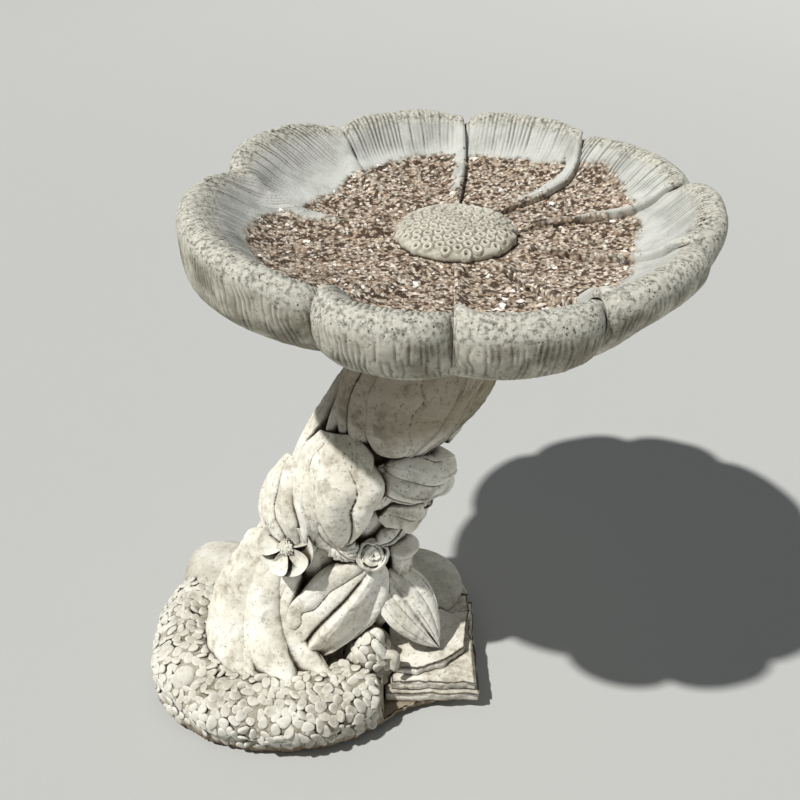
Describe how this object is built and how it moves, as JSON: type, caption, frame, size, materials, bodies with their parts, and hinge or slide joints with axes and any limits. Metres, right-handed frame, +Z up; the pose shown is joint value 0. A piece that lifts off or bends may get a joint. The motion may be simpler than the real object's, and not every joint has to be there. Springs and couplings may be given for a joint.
{
  "type": "bird bath",
  "caption": "Cast-stone bird bath: lobed flower bowl on a leaning stem of leaves and flowers, on a cobbled and slated rock base.",
  "frame": {"origin": "on the ground, on the flat underside of the base slab, near the middle of the base", "axes": "+Z up, +X to the right and +Y to the back as seen from the side of the front rose; the bowl's turning axis is vertical, to the right of and a little behind the origin"},
  "size_m": [0.4987, 0.4186, 0.4811],
  "materials": {
    "bowl_stone": "weathered cast stone, speckled grey lip with pits, worn brown aggregate floor",
    "seed_head_stone": "weathered cast stone, rough with small raised rings",
    "stem_stone": "sun-bleached cream cast stone, darker in its crevices",
    "cobble_stone": "off-white cast stone cobbles with dark joints",
    "slate_stone": "layered cast stone, grey cream with brown stain",
    "base_stone": "cast stone stained brown by soil at the foot",
    "pin_steel": "plain steel bar, dulled",
    "rod_steel": "mild steel bar, lightly rusted"
  },
  "bodies": {
    "pedestal": {"back_boulder": "cobble_stone", "back_leaf": "stem_stone", "back_left_leaf": "stem_stone", "base_slab": "base_stone", "bud_leaf": "stem_stone", "cobble_bank": "cobble_stone", "cobble_mound": "cobble_stone", "crescent_petal": "stem_stone", "curled_sprig": "stem_stone", "front_rose": "stem_stone", "front_rose_bud": "stem_stone", "knuckle_leaf": "stem_stone", "left_boulder": "cobble_stone", "lower_left_leaf": "stem_stone", "lower_right_leaf": "stem_stone", "neck_back_leaf": "stem_stone", "neck_drape": "stem_stone", "neck_lobe": "stem_stone", "neck_right_fold": "stem_stone", "neck_roll": "stem_stone", "open_flower": "stem_stone", "open_flower_heart": "stem_stone", "outer_left_leaf": "stem_stone", "petal_tip": "stem_stone", "reinforcing_rod": "rod_steel", "root_fold_inner": "stem_stone", "root_fold_middle": "stem_stone", "root_fold_outer": "stem_stone", "rose_side_leaf": "stem_stone", "round_leaf": "stem_stone", "shaded_rose": "stem_stone", "slate_lower": "slate_stone", "slate_middle": "slate_stone", "slate_top": "slate_stone", "smooth_cobble": "cobble_stone", "stem": "stem_stone", "trunk_stub": "stem_stone", "upper_left_leaf": "stem_stone", "veined_leaf": "stem_stone"},
    "pin": {"locating_pin": "pin_steel"},
    "bowl": {"flower_bowl": "bowl_stone", "seed_head": "seed_head_stone"}
  },
  "joints": [
    {"name": "bowl_turn", "type": "hinge", "parent": "pedestal", "child": "pin", "pos_m": [0.126, 0.042, 0.384], "axis": [0, 0, 1], "continuous": true},
    {"name": "bowl_lift", "type": "slide", "parent": "pin", "child": "bowl", "axis": [0, 0, 1], "range_m": [0, 0.06]}
  ]
}
